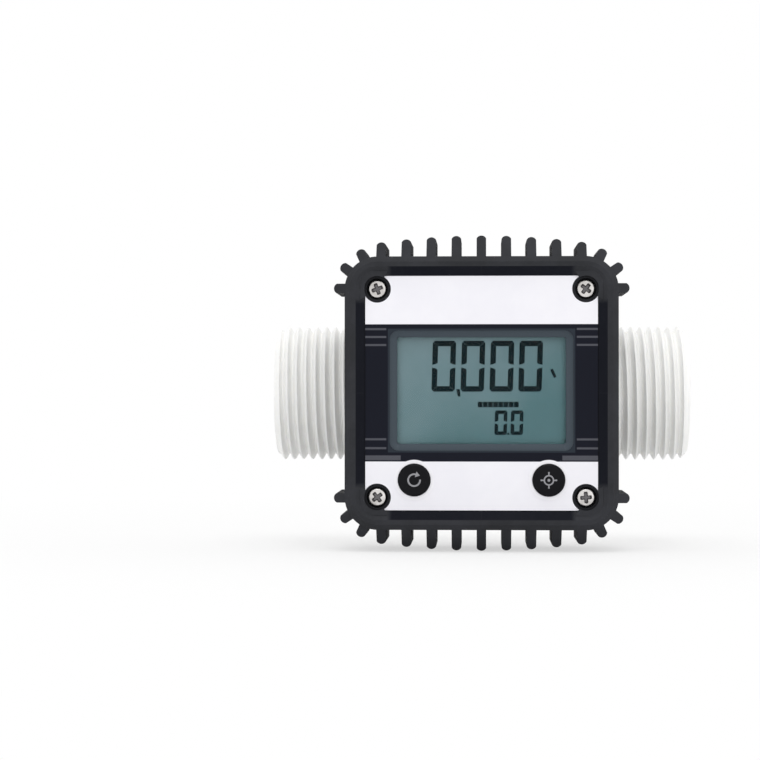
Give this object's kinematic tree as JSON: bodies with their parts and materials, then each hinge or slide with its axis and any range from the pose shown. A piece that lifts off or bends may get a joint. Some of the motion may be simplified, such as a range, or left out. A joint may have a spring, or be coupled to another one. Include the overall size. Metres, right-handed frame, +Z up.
{
  "type": "turbine flow meter",
  "caption": "In-line turbine flow meter with threaded male ports, magnet rotor between flow straighteners, and a battery display head with two buttons in a finned rubber boot.",
  "frame": {"origin": "centre of the inlet port's end face, on the flow axis", "axes": "+X is the direction of flow from inlet to outlet, +Z is up, and the display faces -Y"},
  "size_m": [0.102, 0.0569, 0.075],
  "materials": {
    "body_nylon": "natural white moulded nylon, faint satin sheen",
    "insert_brass": "machined brass",
    "guide_acetal": "black acetal, satin",
    "spring_steel": "bright spring steel",
    "bearing_bronze": "sintered bronze",
    "seal_rubber": "black nitrile rubber",
    "head_plastic": "black moulded plastic, fine grain",
    "cell_jacket": "plain dark jacket, satin",
    "board_laminate": "green solder mask",
    "screw_steel": "bright zinc plate",
    "chip_epoxy": "black moulded epoxy",
    "display_glass": "grey-green reflective display glass",
    "clear_pane": "clear polished pane",
    "printed_film": "printed film, white bands and a black band, satin gloss",
    "boot_rubber": "black moulded rubber, matt",
    "rotor_plastic": "white acetal",
    "shaft_steel": "ground steel",
    "magnet_ferrite": "dark sintered magnet",
    "key_plastic": "black button caps, satin",
    "plunger_plastic": "natural plunger plastic"
  },
  "bodies": {
    "housing": {"meter_body": "body_nylon", "screw_inserts": "insert_brass", "inlet_straightener": "guide_acetal", "outlet_straightener": "guide_acetal", "inlet_retaining_ring": "spring_steel", "outlet_retaining_ring": "spring_steel", "inlet_bearing": "bearing_bronze", "outlet_bearing": "bearing_bronze", "base_o_ring": "seal_rubber", "head_base": "head_plastic", "battery_cradle": "head_plastic", "battery_upper": "cell_jacket", "battery_lower": "cell_jacket", "battery_springs": "spring_steel", "battery_tabs": "spring_steel", "circuit_board": "board_laminate", "board_screws": "screw_steel", "microcontroller": "chip_epoxy", "board_components": "chip_epoxy", "pickup_sensor": "chip_epoxy", "tact_switches": "chip_epoxy", "zebra_strips": "seal_rubber", "lcd_carrier": "head_plastic", "lcd_panel": "display_glass", "head_gasket": "seal_rubber", "front_cover": "head_plastic", "window_lens": "clear_pane", "face_overlay": "printed_film", "cover_screws": "screw_steel", "rubber_boot": "boot_rubber"},
    "rotor": {"turbine_rotor": "rotor_plastic", "rotor_shaft": "shaft_steel", "rotor_magnets": "magnet_ferrite"},
    "reset_key": {"reset_button": "key_plastic", "reset_button_seal": "seal_rubber", "reset_plunger": "plunger_plastic"},
    "calibrate_key": {"calibrate_button": "key_plastic", "calibrate_button_seal": "seal_rubber", "calibrate_plunger": "plunger_plastic"}
  },
  "joints": [
    {"name": "rotor_spin", "type": "hinge", "parent": "housing", "child": "rotor", "pos_m": [0.051, 0, 0], "axis": [1, 0, 0], "continuous": true},
    {"name": "reset_press", "type": "slide", "parent": "housing", "child": "reset_key", "axis": [0, 1, 0], "range_m": [0, 0.0005], "stiffness_N_per_m": 2000, "springref_m": -0.0003},
    {"name": "calibrate_press", "type": "slide", "parent": "housing", "child": "calibrate_key", "axis": [0, 1, 0], "range_m": [0, 0.0005], "stiffness_N_per_m": 2000, "springref_m": -0.0003}
  ]
}
